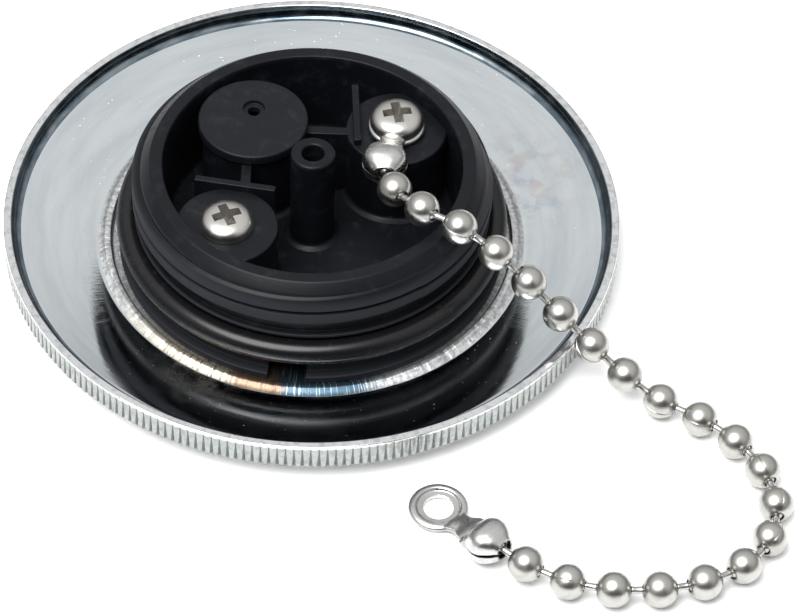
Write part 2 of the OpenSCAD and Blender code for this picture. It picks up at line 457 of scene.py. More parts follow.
def rim_chrome():
    """The lip, rubbed in places."""
    finish = Finish("rim_chrome", (0.7, 0.71, 0.72), 1.0, 0.16)
    wear = finish.ramp(finish.noise(900.0, 5.0, 0.65), 0.45, 0.7)
    finish.color(finish.mix(wear, (0.72, 0.73, 0.74), (0.5, 0.52, 0.53)))
    finish.roughness(finish.math("MULTIPLY_ADD", wear, 0.16, 0.13))
    finish.add_bump(finish.noise(1.0, 3.0, 0.6, turned_vector(finish, 2600.0, 6.0)), 0.3, 0.01)
    return finish.material


def cove_dark_reflection_chrome():
    """The cove, its chrome coloured dark as a painted reflection of dark surroundings."""
    # painted reflection: the cove's dark base colours stand for the dark surroundings that the chrome reflects
    finish = Finish("cove_dark_reflection_chrome", (0.16, 0.2, 0.23), 1.0, 0.16)
    streaks = finish.ramp(finish.noise(1.0, 4.0, 0.6, turned_vector(finish, 900.0, 9.0)), 0.35, 0.7)
    finish.color(finish.mix(streaks, (0.1, 0.135, 0.165), (0.24, 0.28, 0.31)))
    finish.roughness(finish.math("MULTIPLY_ADD", streaks, 0.12, 0.14))
    finish.add_bump(streaks, 0.25, 0.012)
    return finish.material


def band_chrome():
    """The band, with shade painted dark down in its flutes, which widen towards the crown."""
    finish = Finish("band_chrome", (0.42, 0.44, 0.43), 1.0, 0.3)
    height = finish.node("ShaderNodeSeparateXYZ", {0: finish.coords}).outputs[2]
    angle = finish.polar()[1]
    wave = finish.math("ABSOLUTE", finish.math("COSINE", finish.math("MULTIPLY", angle, FLUTES / 2)))
    reach = finish.ramp(height, CROWN_H * MM, RIM_TOP * MM, 0.78, 0.3)
    # painted shade: a mask of the flute valleys, wider towards the crown, where the colour is made dark
    groove = finish.node("ShaderNodeMapRange", {
        "Value": wave, "From Min": finish.math("SUBTRACT", reach, 0.22), "From Max": reach,
        "To Min": 1.0, "To Max": 0.0}, interpolation_type="SMOOTHSTEP").outputs[0]
    wear = finish.ramp(finish.noise(1100.0, 4.0, 0.65), 0.4, 0.7)
    clean = finish.mix(wear, (0.36, 0.38, 0.37), (0.27, 0.29, 0.28))
    # the flute valleys take the dark painted-shade colour
    finish.color(finish.mix(groove, clean, (0.12, 0.13, 0.13)))
    finish.roughness(finish.math("MULTIPLY_ADD", wear, 0.14, 0.26))
    finish.add_bump(finish.noise(1700.0, 3.0), 0.25, 0.02)
    return finish.material


def crown_chrome():
    """The outer face, bright with light scuffs."""
    finish = Finish("crown_chrome", (0.8, 0.81, 0.82), 1.0, 0.08)
    scuffs = finish.ramp(finish.noise(160.0, 6.0, 0.7, distortion=0.6), 0.5, 0.8)
    finish.color(finish.mix(scuffs, (0.82, 0.83, 0.84), (0.7, 0.71, 0.73)))
    finish.roughness(finish.math("MULTIPLY_ADD", scuffs, 0.16, 0.06))
    finish.add_bump(finish.noise(1.0, 3.0, 0.6, turned_vector(finish, 1800.0, 2.0)), 0.12, 0.006)
    return finish.material


def ridge_metal():
    """Bare edge of the ridge: cream, brown, blue and grey in turn round its front."""
    finish = Finish("ridge_metal", (0.5, 0.5, 0.5), 1.0, 0.4)
    radius, angle = finish.polar()
    ticks_at = finish.node("ShaderNodeCombineXYZ", {
        0: finish.math("MULTIPLY", finish.math("COSINE", angle), 46.0),
        1: finish.math("MULTIPLY", finish.math("SINE", angle), 46.0),
        2: finish.math("MULTIPLY", radius, 60.0)}).outputs[0]
    ticks = finish.ramp(finish.noise(2.2, 2.0, 0.7, ticks_at), 0.54, 0.6)
    grain = finish.noise(1600.0, 4.0, 0.7)
    place = finish.node("ShaderNodeSeparateXYZ", {0: finish.coords})
    wander = finish.math("MULTIPLY_ADD", finish.noise(500.0, 3.0), 0.004, place.outputs[0])
    blued = finish.ramp(wander, -0.0018, -0.0002)
    color = finish.mix(finish.ramp(wander, -0.0105, -0.006), (0.6, 0.55, 0.45), (0.2, 0.135, 0.095))
    color = finish.mix(blued, color, (0.06, 0.1, 0.135))
    lines = finish.mix(blued, (0.16, 0.13, 0.1), (0.5, 0.6, 0.65))
    color = finish.mix(finish.math("MULTIPLY", ticks, 0.8), color, lines)
    grey = finish.mix(finish.ramp(grain, 0.4, 0.65), (0.6, 0.61, 0.61), (0.33, 0.34, 0.35))
    color = finish.mix(finish.ramp(wander, 0.009, 0.014), color, grey)
    finish.color(finish.mix(finish.ramp(place.outputs[1], -0.024, -0.012), color, grey))
    finish.roughness(finish.math("MULTIPLY_ADD", grain, 0.25, 0.26))
    finish.add_bump(ticks, 0.5, 0.05)
    finish.add_bump(grain, 0.5, 0.05)
    return finish.material


def moulded_plastic(name, color, scuff, roughness):
    """Black plastic with a fine grain, lighter where it is worn, with painted light on the thread crests and on
    the faces further out.
    """
    finish = Finish(name, color, 0.0, roughness, 0.16)
    grain = finish.noise(2600.0, 3.0, 0.6)
    wear_and_crest_light = finish.ramp(finish.noise(330.0, 6.0, 0.7, distortion=0.3), 0.5, 0.78)
    # painted light: faces at the thread's crest radius and further out are made lighter, as if lit, against the
    # shaded grooves
    crest = finish.ramp(finish.polar()[0], (ROOT_R + 0.3) * MM, (THREAD_R - 0.1) * MM)
    # this mask holds the real wear and the painted crest light together
    wear_and_crest_light = finish.math("MAXIMUM", wear_and_crest_light, crest)
    finish.color(finish.mix(finish.math("MULTIPLY", wear_and_crest_light, 0.8), color, scuff))
    finish.roughness(finish.math("MULTIPLY_ADD", wear_and_crest_light, 0.16, roughness))
    finish.add_bump(grain, 0.35, 0.03)
    finish.add_bump(finish.noise(1.0, 3.0, 0.6, turned_vector(finish, 2400.0, 2.0)), 0.25, 0.015)
    return finish.material


def ring_rubber():
    """Black rubber with a little dust."""
    finish = Finish("ring_rubber", (0.005, 0.005, 0.006), 0.0, 0.3, 0.32)
    dust = finish.ramp(finish.noise(700.0, 5.0, 0.7), 0.56, 0.8)
    finish.color(finish.mix(finish.math("MULTIPLY", dust, 0.5), (0.005, 0.005, 0.006),
                            (0.028, 0.027, 0.026)))
    finish.roughness(finish.math("MULTIPLY_ADD", dust, 0.25, 0.27))
    finish.add_bump(finish.noise(1300.0, 3.0), 0.2, 0.02)
    return finish.material


def steel(name, color, dark, roughness, grain_scale):
    """Tumbled stainless steel with darker, duller patches."""
    finish = Finish(name, color, 1.0, roughness)
    patches = finish.ramp(finish.noise(520.0, 5.0, 0.65), 0.42, 0.72)
    grain = finish.noise(grain_scale, 4.0, 0.65)
    finish.color(finish.mix(finish.math("MULTIPLY", patches, 0.6), color, dark))
    finish.roughness(finish.math("MULTIPLY_ADD", patches, 0.12, roughness))
    finish.add_bump(grain, 0.2, 0.012)
    return finish.material


DISH = dish_chrome()
RIM = rim_chrome()
COVE = cove_dark_reflection_chrome()
BAND = band_chrome()
CROWN = crown_chrome()
RIDGE = ridge_metal()
PLUG = moulded_plastic("plug_plastic", (0.0042, 0.0047, 0.0064), (0.0165, 0.018, 0.0225), 0.4)
SURGE = moulded_plastic("surge_plastic", (0.0062, 0.0068, 0.009), (0.0165, 0.0175, 0.021), 0.42)
RUBBER = ring_rubber()
SCREW = steel("screw_steel", (0.56, 0.55, 0.52), (0.4, 0.39, 0.365), 0.28, 1400.0)
# painted shade: a dark steel for the cross recess, standing for the shade down in it
RECESS_SHADE_STEEL = steel("recess_shade_steel", (0.2, 0.19, 0.17), (0.11, 0.105, 0.095), 0.4, 1400.0)
SHEET = steel("sheet_steel", (0.54, 0.54, 0.53), (0.37, 0.37, 0.36), 0.27, 1800.0)
BEAD = steel("bead_steel", (0.46, 0.455, 0.43), (0.34, 0.335, 0.315), 0.28, 2200.0)
WIRE = steel("wire_steel", (0.46, 0.455, 0.44), (0.32, 0.315, 0.3), 0.28, 2600.0)

# ---------------------------------------------------------------------------
# Head: crown, fluted band, lip, cove, dish, ridge and recess
# ---------------------------------------------------------------------------

FINE = FLUTES * 6
COARSE = FLUTES * 2
SLOT_DISH, SLOT_RIM, SLOT_CROWN, SLOT_RIDGE, SLOT_COVE, SLOT_BAND = range(6)


def flute(r, z, angle):
    """Flutes that deepen from the lip towards the crown."""
    share = 0.35 + 0.65 * (RIM_TOP - z) / (RIM_TOP - CROWN_H)
    wave = abs(math.cos(FLUTES * angle / 2)) ** 0.7
    return r - FLUTE_DEPTH * share * (1 - wave), z


def head_rows():
    """Rows of the head's section: (radius, height, material, fluted)."""
    rows = []
    for k in range(13):
        t = k / 12
        rows.append((LAND_R + (HEAD_R - 0.35 - LAND_R) * t, CROWN_H * t * t,
                     SLOT_CROWN, False))
    rows += [(HEAD_R - 0.12, CROWN_H + 0.08, SLOT_BAND, True),
             (HEAD_R, CROWN_H + 0.3, SLOT_BAND, True),
             (HEAD_R, CROWN_H + 0.5, SLOT_BAND, True),
             (HEAD_R, RIM_TOP - 0.75, SLOT_BAND, True),
             (HEAD_R, RIM_TOP - 0.45, SLOT_BAND, True),
             (HEAD_R - 0.02, RIM_TOP - 0.3, SLOT_RIM, False)]
    lip = rounded([(HEAD_R - 0.02, RIM_TOP - 0.3, 0), (HEAD_R - 0.05, RIM_TOP, 0.28),
                   (HEAD_R - RIM_W, RIM_TOP, 0.18),
                   (HEAD_R - RIM_W - 0.1, RIM_TOP - 0.5, 0)], steps=5)
    rows += [(r, z, SLOT_RIM, False) for r, z in lip[1:-1]]
    for k in range(9):
        a = math.radians(12 + 78 * k / 8)
        rows.append((HEAD_R - RIM_W - 0.04 - (COVE_W - 0.04) * (1 - math.cos(a)),
                     RIM_TOP - COVE_H * math.sin(a), SLOT_COVE, False))
    dish_out = HEAD_R - RIM_W - COVE_W
    dish_in = RIDGE_OUT + RIDGE_FOOT
    for k in range(1, 25):
        t = k / 24
        rows.append((dish_out + (dish_in - dish_out) * t,
                     RIM_TOP - COVE_H + (DISH_Z - RIM_TOP + COVE_H) * t,
                     SLOT_DISH, False))
    ridge = rounded([(dish_in, DISH_Z, 0), (RIDGE_OUT - 0.3, RIDGE_TOP, 0.22),
                     (RIDGE_IN + 0.2, RIDGE_TOP, 0.15), (RIDGE_IN, RIDGE_TOP - 0.4, 0)], steps=4)
    rows += [(r, z, SLOT_RIDGE, False) for r, z in ridge[1:]]
    rows += [(RIDGE_IN, RECESS_Z + 0.1, SLOT_RIDGE, False),
             (RIDGE_IN - 0.2, RECESS_Z, SLOT_RIDGE, False)]
    return rows


def ridge_height(r, z, nick):
    """Height of a point, lowered by the nick there if it is on top of the ridge."""
    if z < RIDGE_TOP - 0.25 or r > RIDGE_OUT:
        return z
    return z - nick


def build_head():
    """The head as one skin: its rows joined up, its recess and land closed, key holes cut."""
    shape = Shape()
    rows = head_rows()
    draw = random.Random(7)
    nicks = [draw.random() ** 6 * RIDGE_NICK for _ in range(COARSE)]
    rings = []
    verts = []
    for r, z, _, fluted in rows:
        count = FINE if fluted else COARSE
        ring = []
        for s in range(count):
            a = 2 * math.pi * s / count
            rr, zz = flute(r, z, a) if fluted else (r, z)
            if not fluted:
                zz = ridge_height(rr, zz, nicks[s])
            ring.append(len(verts))
            verts.append((rr * math.cos(a), rr * math.sin(a), zz))
        rings.append(ring)
    for i in range(len(rings) - 1):
        low, high = rings[i], rings[i + 1]
        faces = []
        if len(low) == len(high):
            count = len(low)
            for s in range(count):
                n = (s + 1) % count
                faces.append([low[s], low[n], high[n], high[s]])
        else:
            fine, coarse = (low, high) if len(low) > len(high) else (high, low)
            step = len(fine) // len(coarse)
            for s in range(len(coarse)):
                run = [fine[(s * step + k) % len(fine)] for k in range(step + 1)]
                faces.append([coarse[s]] + run + [coarse[(s + 1) % len(coarse)]])
        shape.faces += faces
        shape.slots += [rows[i + 1][2]] * len(faces)
    floor_centre = len(verts)
    verts.append((0, 0, RECESS_Z))
    last = rings[-1]
    for s in range(len(last)):
        shape.faces.append([last[s], last[(s + 1) % len(last)], floor_centre])
        shape.slots.append(SLOT_RIDGE)
    land_centre = len(verts)
    verts.append((0, 0, 0))
    first = rings[0]
    for s in range(len(first)):
        shape.faces.append([first[(s + 1) % len(first)], first[s], land_centre])
        shape.slots.append(SLOT_CROWN)
    shape.verts = verts
    obj = mesh_object("head_shell", shape, [DISH, RIM, CROWN, RIDGE, COVE, BAND])
    holes = Shape()
    for side in (-1, 1):
        hole = rounded([(0, -1, 0), (KEY_R + 0.25, -1, 0), (KEY_R + 0.25, 0.0, 0),
                        (KEY_R, 0.25, 0), (KEY_R, KEY_DEPTH, 0), (0, KEY_DEPTH, 0)])
        holes.add(*lathe(hole, 64), place=place_at(side * KEY_X, 0, 0))
    cut(obj, holes)
    return obj


head = build_head()
finish_piece(head, "cap", "chrome_plate", "cap_head", sharp=50)

posts = Shape()
for side in (-1, 1):
    post = rounded([(POST_BORE, RECESS_Z - SUNK, 0), (POST_R, RECESS_Z - SUNK, 0),
                    (POST_R, POST_TOP, 0.4), (POST_BORE, POST_TOP, 0.3)], closed=True)
    posts.add(*lathe(post, 64, closed=True), place=place_at(side * SCREW_X, side * SCREW_Y, 0))
head_posts = mesh_object("head_posts", posts, [RIDGE])
finish_piece(head_posts, "cap", "chrome_plate", "cap_head")

# ---------------------------------------------------------------------------
# Plug: turned outside, helical thread, web, bosses, tube, cup and ribs
# ---------------------------------------------------------------------------

THREAD_FRONT = math.radians(-92)
THREAD_START = math.radians(-250)
THREAD_END = math.radians(28)
THREAD_FRONT_Z = 14.62
THREAD_FADE = math.radians(26)
CREST_W = 1.56
CREST_EDGE = 0.14
LOWER_FLANK = 0.2
UPPER_FLANK = 0.3
SPLIT_AT = math.radians(-51)
SPLIT_STEP = 0.2
FLASH_AT = -56
FLASH_HALF = 24
FLASH_OUT = 0.4
FLASH_DROP = 0.12


def split_shift(angle):
    """The two halves of the mould meet a little out of line."""
    turn_from_split = (angle - SPLIT_AT) % (2 * math.pi)
    return SPLIT_STEP if turn_from_split < math.pi else 0.0


def thread_rings():
    """Cross-sections of the thread ridge along its helix."""
    per_turn = 360
    first = THREAD_START - 2 * math.pi
    count = int((THREAD_END - first) / (2 * math.pi) * per_turn)
    half = CREST_W / 2
    root = ROOT_R - 0.25
    ceiling = PLUG_TOP - 0.06
    rings = []
    for i in range(count + 1):
        a = first + (THREAD_END - first) * i / count
        share = min(1, (a - first) / THREAD_FADE, (THREAD_END - a) / THREAD_FADE)
        height = (THREAD_R - ROOT_R) * share
        middle = THREAD_FRONT_Z + PITCH * (a - THREAD_FRONT) / (2 * math.pi) - split_shift(a)
        crest = ROOT_R + max(height, -0.2)
        section = rounded([(root, middle - half - LOWER_FLANK, 0),
                           (crest, middle - half, CREST_EDGE), (crest, middle + half, CREST_EDGE),
                           (root, middle + half + UPPER_FLANK, 0)], steps=3)
        ring = []
        for r, z in section:
            chamfer = MOUTH_R + (PLUG_TOP - z) * 1.02
            r = min(r, chamfer)
            z = min(z, ceiling)
            ring.append((r * math.cos(a), r * math.sin(a), z))
        rings.append(ring)
    return rings


def flash(r, z, angle):
    """Thin ragged flash on the front of the mouth's inner edge."""
    if r > BORE_R + 0.45 or z < PLUG_TOP - 0.5:
        return r, z
    a = math.degrees(angle)
    a = a - 360 if a > 180 else a
    inside = max(0.0, 1 - abs(a - FLASH_AT) / FLASH_HALF)
    ragged = 0.5 + 0.3 * math.sin(a * 5.1) + 0.2 * math.sin(a * 12.7 + 1)
    return r - FLASH_OUT * inside ** 0.5 * ragged, z - FLASH_DROP * inside * ragged


def build_plug():
    """The turned wall and web of the plug, with the two vent slots cut at its foot."""
    shape = Shape()
    section = rounded([
        (0, RECESS_Z, 0), (FLANGE_R, RECESS_Z, 0.2), (FLANGE_R, FLANGE_TOP, 0.25),
        (SHOULDER_R, FLANGE_TOP, 0.2), (SHOULDER_R, GROOVE_LOW, 0.3),
        (GROOVE_R, GROOVE_LOW, 0.2), (GROOVE_R, GROOVE_TOP, 0.1), (COLLAR_R, GROOVE_TOP, 0.14),
        (COLLAR_R, COLLAR_TOP, 0.14), (ROOT_R, COLLAR_TOP + 0.05, 0.1), (ROOT_R, LEAD_Z, 0.3),
        (MOUTH_R, PLUG_TOP, 0.22), (BORE_R + 0.15, PLUG_TOP, 0.2), (BORE_R, PLUG_TOP - 0.5, 0.2),
        (BORE_R, WEB_TOP, 0.8), (0, WEB_TOP, 0)])
    shape.add(*lathe(section, 540, shape=flash))
    obj = mesh_object("plug_shell", shape, [PLUG])
    slots = Shape()
    for turn_deg in VENT_TURNS:
        centre = place_at(0, 0, 0, turn_deg)
        slots.add(*slab(8, VENT_W, VENT_H, 0.15),
                  place=centre @ Matrix.Translation((SHOULDER_R + 0.4, 0, 0.5)))
    cut(obj, slots)
    return obj


def lug(radius, bore, low, high, edge=0.3, foot=0.9):
    """Section of a round post with a rounded top edge and a fillet at its foot."""
    corners = [(radius + foot, low, 0), (radius, low + foot * 0.4, foot * 0.5),
               (radius, high, edge)]
    if bore:
        corners += [(bore, high, edge * 0.8), (bore, low - 0.6, 0), (radius + foot, low - 0.6, 0)]
        return rounded(corners, closed=True, steps=4)
    corners = [(0, low - 0.6, 0), (radius + foot, low - 0.6, 0)] + corners + [(0, high, 0)]
    return rounded(corners, steps=4)


# Ribs: (x, y, turn in degrees, length, width, top), two walls and the stubs that hold them
RIBS = ((-10.45, -2.9, -8, 11.2, 1.0, 15.5), (5.55, 11.6, 94, 10.9, 1.0, 15.5),
        (-9.1, -0.2, 90, 5.4, 1.4, 14.5), (1.95, 8.8, 0, 7.0, 1.4, 14.5))


def build_plug_inside():
    """Everything that stands on the plug's wall and web."""
    shape = Shape()
    shape.add(*sweep(thread_rings()))
    foot = WEB_TOP - 0.01
    shape.add(*lathe(lug(TUBE_R, TUBE_BORE, foot, TUBE_TOP, 0.5), 72, closed=True))
    shape.add(*lathe(lug(CUP_R, CUP_BORE, foot, CUP_TOP, 0.2), 120, closed=True),
              place=place_at(SURGE_X, SURGE_Y, 0))
    for side in (-1, 1):
        shape.add(*lathe(lug(BOSS_R, BOSS_BORE, foot, BOSS_TOP, 0.35), 120, closed=True),
                  place=place_at(side * SCREW_X, side * SCREW_Y, 0))
    for x, y, angle, length, width, top in RIBS:
        shape.add(*slab(length, width, top - foot + 0.5, 0.14),
                  place=place_at(x, y, foot - 0.5, angle))
    return mesh_object("plug_inside", shape, [PLUG])


finish_piece(build_plug(), "cap", "plug_plastic", "plug_body")
finish_piece(build_plug_inside(), "cap", "plug_plastic", "plug_body")

# ---------------------------------------------------------------------------
# O-ring, with its mould line, and the surge plug
# ---------------------------------------------------------------------------

ring_low, ring_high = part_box("o_ring")
RING_SECTION = (ring_high.z - ring_low.z) / 2 / MM
RING_R = ring_high.x / MM - RING_SECTION
RING_Z = (ring_high.z + ring_low.z) / 2 / MM
ring_section = []
for k in range(48):
    a = 2 * math.pi * k / 48
    line = 0.045 * math.exp(-((math.degrees(a) + 180) % 360 - 180) ** 2 / 18)
    reach = RING_SECTION - 0.045 + line
    ring_section.append((RING_R + reach * math.cos(a), RING_Z + reach * math.sin(a)))
ring_shape = Shape()
ring_shape.add(*lathe(ring_section, 360, closed=True))
finish_piece(mesh_object("o_ring_seal", ring_shape, [RUBBER]), "cap", "ring_rubber", "o_ring")


def build_surge():
    """The disc with its sunk hole, and the skirt under it."""
    shape = Shape()
    face = rounded([(0, SURGE_Z, 0), (SURGE_R, SURGE_Z, 0.2), (SURGE_R, SURGE_TOP, 0.4),
                    (0, SURGE_TOP, 0)], steps=5)
    shape.add(*lathe(face, 160))
    skirt = rounded([(SKIRT_BORE, SURGE_Z - SKIRT_H, 0.1), (SKIRT_R, SURGE_Z - SKIRT_H, 0.3),
                     (SKIRT_R, SURGE_Z + SUNK, 0), (SKIRT_BORE, SURGE_Z + SUNK, 0)], closed=True)
    obj = mesh_object("surge_disc", shape, [SURGE])
    hole = Shape()
    sink = rounded([(0, -1, 0), (SURGE_HOLE_R, -1, 0), (SURGE_HOLE_R, 0.95, 0.1), (1.5, 0.95, 0.1),
                    (SURGE_SINK_R, 2.5, 0), (0, 2.5, 0)])
    hole.add(*lathe(sink, 64), place=place_at(0, SURGE_HOLE_Y, SURGE_Z))
    cut(obj, hole)
    ring = Shape()
    ring.add(*lathe(skirt, 120, closed=True))
    skirt_obj = mesh_object("surge_skirt", ring, [SURGE])
    for part in (obj, skirt_obj):
        part.data.transform(Matrix.Translation((SURGE_X * MM, SURGE_Y * MM, 0)))
    return obj, skirt_obj


for part in build_surge():
    finish_piece(part, "cap", "surge_plastic", "surge_plug")

# ---------------------------------------------------------------------------
# Pan-head screws with a cross recess
# ---------------------------------------------------------------------------


def wedge(top_size, low_size, top, low):
    """A tapered bar, for one arm pair of the cross recess."""
    verts = []
    for (length, width), z in ((low_size, low), (top_size, top)):
        verts += [(sx * length / 2, sy * width / 2, z)
                  for sx, sy in ((-1, -1), (1, -1), (1, 1), (-1, 1))]
    faces = [[0, 3, 2, 1], [4, 5, 6, 7], [0, 1, 5, 4], [1, 2, 6, 5], [2, 3, 7, 6], [3, 0, 4, 7]]
    return verts, faces


# The recess: length and width of an arm at its top and its foot
ARM_TOP = (4.6, 1.45)
ARM_FOOT = (1.8, 0.6)
ARM_DEPTH = 1.5
DOME_POWER = 0.62
DOME_EDGE = 0.5
SHANK_R = 1.7
SHANK_TIP_R = 0.9
SHANK_TIP_H = 1.2
# Faces of the recess lie within these bounds, and the dome's faces don't
RECESS_REACH = 2.35
RECESS_LOW = 0.4
RECESS_HIGH = 1.93


def build_screw(name, node, turn_deg):
    """A pan head with its cross recess, and the shank under it."""
    low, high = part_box(node)
    x, y = (low.x + high.x) / 2 / MM, (low.y + high.y) / 2 / MM
    radius = (high.x - low.x) / 2 / MM
    seat = high.z / MM - SCREW_HEAD_H
    dome = [(0, 0), (radius - 0.12, 0), (radius, 0.1), (radius, DOME_EDGE)]
    for k in range(1, 15):
        a = math.radians(90 * k / 14)
        dome.append((radius * math.cos(a) ** DOME_POWER,
                     DOME_EDGE + (SCREW_HEAD_H - DOME_EDGE) * math.sin(a)))
    dome[-1] = (0, SCREW_HEAD_H)
    shape = Shape()
    shape.add(*lathe(dome, 96))
    obj = mesh_object(name, shape, [SCREW, RECESS_SHADE_STEEL])
    for extra in (0, 90):
        arm = Shape()
        arm.add(*wedge(ARM_TOP, ARM_FOOT, SCREW_HEAD_H + SUNK, SCREW_HEAD_H - ARM_DEPTH),
                place=place_at(0, 0, 0, turn_deg + extra))
        cut(obj, arm)
    # faces down in the cross recess take the dark painted-shade steel
    for face in obj.data.polygons:
        middle = face.center / MM
        if middle.xy.length < RECESS_REACH and RECESS_LOW < middle.z < RECESS_HIGH:
            face.material_index = 1
    shank = Shape()
    tip = low.z / MM - seat
    body = rounded([(0, tip, 0), (SHANK_TIP_R, tip, 0), (SHANK_R, tip + SHANK_TIP_H, 0.2),
                    (SHANK_R, 0.1, 0), (0, 0.1, 0)])
    shank.add(*lathe(body, 48))
    shank_obj = mesh_object(name + "_shank", shank, [SCREW])
    for part in (obj, shank_obj):
        part.data.transform(Matrix.Translation((x * MM, y * MM, seat * MM)))
        finish_piece(part, "cap", "stainless_screw", node, sharp=35)


build_screw("left_screw", "plug_screw", 24)
build_screw("right_screw", "chain_screw", 12)

# ---------------------------------------------------------------------------
# Chain: places come from the joints, which sit at the links' ball heads
# ---------------------------------------------------------------------------

joint_at = {j["child"]: Vector(j["pos_m"]) / MM for j in frame["joints"]}
mount_at = {m["name"]: Vector(m["pos_m"]) / MM for m in frame["record"]["mounts"]}
bead_nodes = sorted(n for n in frame["nodes"] if n.startswith("bead_"))
link_nodes = sorted(n for n in frame["nodes"] if n.startswith("link_"))
node_body = {n: body for body, nodes in frame["record"]["behaviour"]["bodies"].items()
             for n in nodes}


def centre_of(node):
    """Middle of a node's box, in millimetres."""
    low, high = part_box(node)
    return (low + high) / 2 / MM


def link_ends(number):
    """The two ball heads of link number, counted from 1."""
    start = joint_at[link_nodes[number - 1]]
    following = bead_nodes[number]
    return start, joint_at[node_body[following]]


def seam_angles(seam):
    """Angles round a bead, closer together at its seam."""
    angles = {round(2 * math.pi * k / 56, 6) for k in range(56)}
    near = [seam + d for d in (-0.06, -SEAM_HALF, -0.016, 0.0, 0.016, SEAM_HALF, 0.06)]
    angles = {a for a in angles if all(abs((a - n + math.pi) % (2 * math.pi) - math.pi) > 0.04
                                       for n in near)}
    return sorted(angles | {n % (2 * math.pi) for n in near})


def build_bead(node, axis, seam):
    """A hollow bead with a hole at each end and a pressed seam along one side."""
    mouth = math.asin(BEAD_HOLE_R / BEAD_R)
    section = []
    for k in range(25):
        a = mouth + 0.05 + (math.pi - 2 * mouth - 0.1) * k / 24
        section.append((BEAD_R * math.sin(a), BEAD_R * math.cos(a)))
    inner = BEAD_R - BEAD_WALL
    inner_mouth = math.asin(BEAD_HOLE_R / inner)
    edge_z = BEAD_R * math.cos(mouth) - 0.06
    section.append((BEAD_HOLE_R, -edge_z))
    for k in range(9):
        a = math.pi - inner_mouth - (math.pi - 2 * inner_mouth) * k / 8
        section.append((inner * math.sin(a), inner * math.cos(a)))
    section.append((BEAD_HOLE_R, edge_z))

    def groove(r, z, angle):
        if math.hypot(r, z) < BEAD_R - 0.1:
            return r, z
        off = abs((angle - seam + math.pi) % (2 * math.pi) - math.pi)
        depth = SEAM_DEPTH * max(0.0, 1 - off / SEAM_HALF)
        behind = (seam - angle) % (2 * math.pi)
        lap = LAP_STEP * (1 - behind / LAP_ANGLE) if 0 < behind < LAP_ANGLE else 0.0
        scale = 1 - (depth + lap) / BEAD_R
        return r * scale, z * scale

    shape = Shape()
    shape.add(*lathe(section, 0, closed=True, shape=groove, angles=seam_angles(seam)),
              place=place_along(centre_of(node), axis) @ Z_TO_X)
    obj = mesh_object("steel_" + node, shape, [BEAD])
    finish_piece(obj, node_body[node], "bead_steel", node, sharp=60)


def build_link(node, start, end):
    """A wire with a ball head at each end."""
    length = (end - start).length
    section = [(0, -LINK_HEAD_R)]
    for k in range(1, 9):
        a = math.pi - math.radians(150) * k / 8
        section.append((LINK_HEAD_R * math.sin(a), LINK_HEAD_R * math.cos(a)))
    section += [(WIRE_R * 1.08, LINK_HEAD_R * 0.98), (WIRE_R, LINK_HEAD_R + 0.14)]
    whole = section + [(r, length - z) for r, z in reversed(section)]
    shape = Shape()
    shape.add(*lathe(whole, 28), place=place_along(start, end - start) @ Z_TO_X)
    obj = mesh_object("wire_" + node, shape, [WIRE])
    finish_piece(obj, node, "link_wire", node, sharp=60)


seams = random.Random(31)
link_spans = [link_ends(n) for n in range(1, len(link_nodes) + 1)]
for number, node in enumerate(bead_nodes):
    if number < len(link_spans):
        axis = link_spans[number][0] - centre_of(node)
    else:
        axis = centre_of(node) - link_spans[-1][1]
    build_bead(node, axis, seams.uniform(0, 2 * math.pi))
for node, (start, end) in zip(link_nodes, link_spans):
    build_link(node, start, end)

# ---------------------------------------------------------------------------
# Couplings: rolled eyelet, folded neck and a two-lobed bell round the end bead
# ---------------------------------------------------------------------------

EYELET_R = 4.0
EYELET_HOLE = 2.0
NECK_FROM = 2.9
NECK_W = 1.95
NECK_WAIST = 0.42
NECK_CREASE = 0.16
SHEET_HALF = 0.21
SHEET_LIFT = 0.23
BELL_R = 2.95
BELL_WALL = 0.2
BELL_SQUARE = 0.74
# Places along the bell: (distance from its centre, half width, half height)
BELL_FORM = ((-2.85, 1.9, 0.7), (-1.5, 2.75, 2.3), (-0.4, 3.12, 2.66),
             (0.7, 3.02, 2.62), (1.9, 2.2, 2.05), (2.65, 1.35, 1.3))


def eyelet_section():
    """Section of the eyelet: a rounded outer wall and a step down to its hole."""
    return rounded([
        (EYELET_HOLE, -0.5, 0.1), (3.5, -0.5, 0.3), (EYELET_R, -0.2, 0.3),
        (EYELET_R, 0.2, 0.35), (3.55, 0.5, 0.3), (3.05, 0.5, 0.2), (2.8, 0.14, 0.14),
        (EYELET_HOLE, 0.1, 0.12)], closed=True, steps=5)


def neck_rings(end, lift, bell_width):
    """Rounded cross-sections of the neck, from the eyelet to the bell."""
    rings = []
    steps = 16
    for k in range(steps + 1):
        t = k / steps
        x = NECK_FROM + (end.x - NECK_FROM) * t
        bend = t * t * (3 - 2 * t)
        z = end.z * (0.35 * t + 0.65 * bend) + lift
        waist = NECK_WAIST * math.sin(math.pi * min(1, t * 1.3))
        width = NECK_W - waist + (bell_width - NECK_W) * t * t
        section = rounded([(-width, -SHEET_HALF, 0.12), (width, -SHEET_HALF, 0.12),
                           (width, SHEET_HALF, 0.12), (-width, SHEET_HALF, 0.12)],
                          closed=True, steps=3)
        y_middle = end.y * t * t
        crease = NECK_CREASE * math.sin(math.pi * t)
        rings.append([(x, y_middle + u, z + v + crease * (u / width) ** 2)
                      for u, v in section])
    return rings


def bell_size(x):
    """Half width and half height of the bell at x, with softened corners."""
    spread = (-0.3, -0.15, 0.0, 0.15, 0.3)
    sums = [0.0, 0.0]
    for step in spread:
        at = min(max(x + step, BELL_FORM[0][0]), BELL_FORM[-1][0])
        for (x0, w0, h0), (x1, w1, h1) in zip(BELL_FORM, BELL_FORM[1:]):
            if x0 <= at <= x1:
                t = (at - x0) / (x1 - x0)
                sums[0] += w0 + (w1 - w0) * t
                sums[1] += h0 + (h1 - h0) * t
                break
    return sums[0] / len(spread), sums[1] / len(spread)


